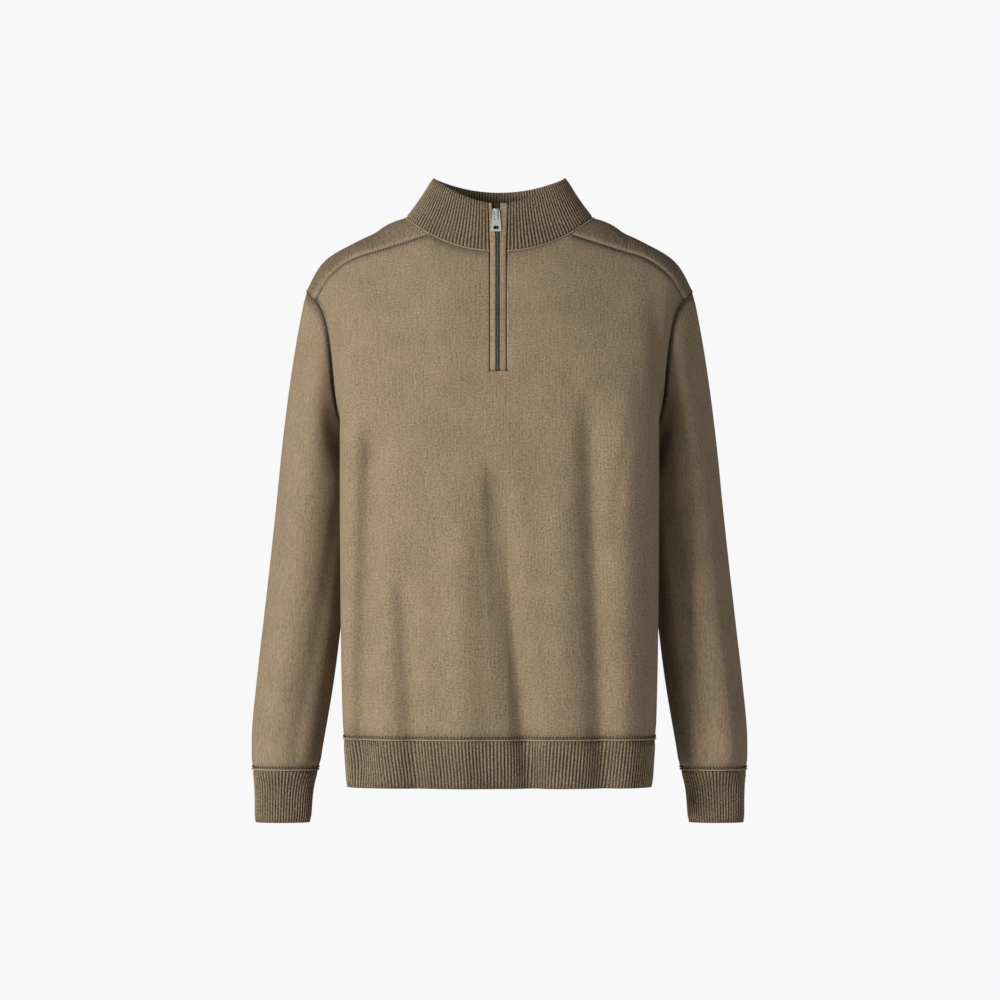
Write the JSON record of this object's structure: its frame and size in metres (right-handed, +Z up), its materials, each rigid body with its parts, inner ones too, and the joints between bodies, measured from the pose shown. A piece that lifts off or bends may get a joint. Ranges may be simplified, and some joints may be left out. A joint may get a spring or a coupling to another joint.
{
  "type": "quarter zip sweater",
  "caption": "Knitted sweater with long sleeves, ribbed hem, cuffs and stand collar, rib strips over the shoulders and a short zip at the neck, filled out as if worn.",
  "frame": {"origin": "middle of the neck opening, level with the highest points of the shoulders, where the wearer's neck and shoulders hold the garment up", "axes": "+Z up along the wearer's spine; the front faces -Y; +X to the right in a front view, which is the wearer's left"},
  "size_m": [0.596, 0.2542, 0.7746],
  "materials": {
    "jersey": "matte marled taupe wool jersey",
    "rib": "matte taupe rib knit",
    "shoulder_rib": "matte taupe fine rib knit",
    "edging": "matte light taupe knitted band",
    "zip_tape": "dark olive woven tape",
    "zip_metal": "polished nickel"
  },
  "bodies": {
    "garment": {"front_panel": "jersey", "back_panel": "jersey", "hem_rib": "rib", "shoulder_strip_right": "shoulder_rib", "shoulder_strip_left": "shoulder_rib", "sleeve_right": "jersey", "sleeve_left": "jersey", "cuff_right": "rib", "cuff_left": "rib", "collar": "rib", "zip_edging_left": "edging", "zip_edging_right": "edging", "zip_tape": "zip_tape", "zip_chain": "zip_metal", "zip_slider": "zip_metal"},
    "pull_tab": {"pull_tab": "zip_metal"}
  },
  "joints": [
    {"name": "pull_tab_flip", "type": "hinge", "parent": "garment", "child": "pull_tab", "pos_m": [-0.004, -0.07006, 0.00602], "axis": [-1, 0, 0], "range_deg": [0, 165]}
  ]
}
